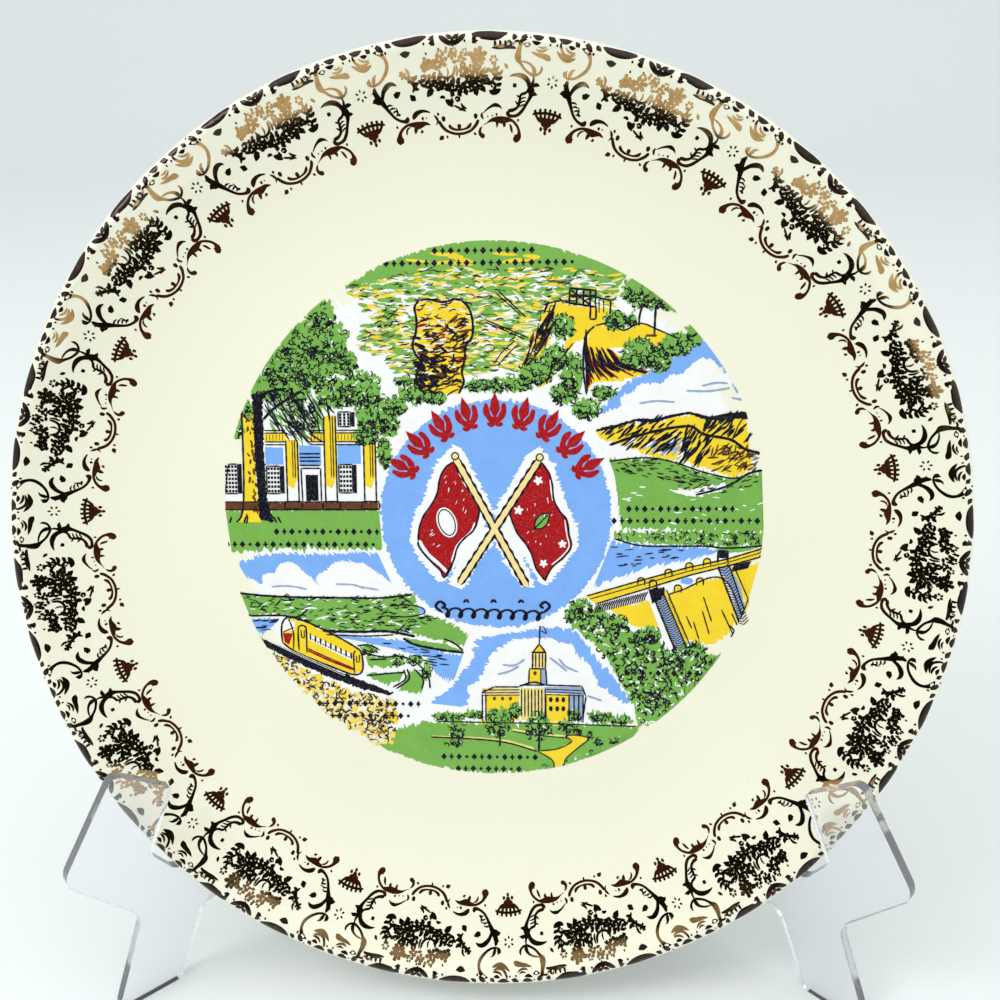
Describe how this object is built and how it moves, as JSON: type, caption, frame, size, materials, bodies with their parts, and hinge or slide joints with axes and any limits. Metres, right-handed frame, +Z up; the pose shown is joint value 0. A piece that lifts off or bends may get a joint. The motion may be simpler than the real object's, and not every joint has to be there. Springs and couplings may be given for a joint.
{
  "type": "souvenir plate",
  "caption": "Round coupe souvenir plate with a gilt scroll border and a printed picture in its well, leaning back on a clear two-wing stand that it lifts off.",
  "frame": {"origin": "on the shelf, under the middle of the whole object's box", "axes": "+Z up, +X to the right seen from the front, +Y to the back; the plate faces -Y and leans back 18 degrees"},
  "size_m": [0.254, 0.1006, 0.2507],
  "materials": {
    "glazed_earthenware": "glossy ivory glaze",
    "gilt": "fired bright gold lustre",
    "clear_plastic": "clear moulded plastic",
    "white_ink": "fired enamel ink, glossy",
    "blue_ink": "fired enamel ink, glossy",
    "green_ink": "fired enamel ink, glossy",
    "yellow_ink": "fired enamel ink, glossy",
    "red_ink": "fired enamel ink, glossy",
    "brown_ink": "fired enamel ink, glossy",
    "black_ink": "fired enamel ink, glossy"
  },
  "bodies": {
    "stand": {"left_wing": "clear_plastic", "right_wing": "clear_plastic", "hinge_pin": "clear_plastic"},
    "plate": {"plate_body": "glazed_earthenware", "centre_transfer": "green_ink", "rim_transfer": "gilt"}
  },
  "joints": [
    {"name": "plate_lift", "type": "slide", "parent": "stand", "child": "plate", "axis": [0, 0.309, 0.9511], "range_m": [0, 0.13]}
  ]
}
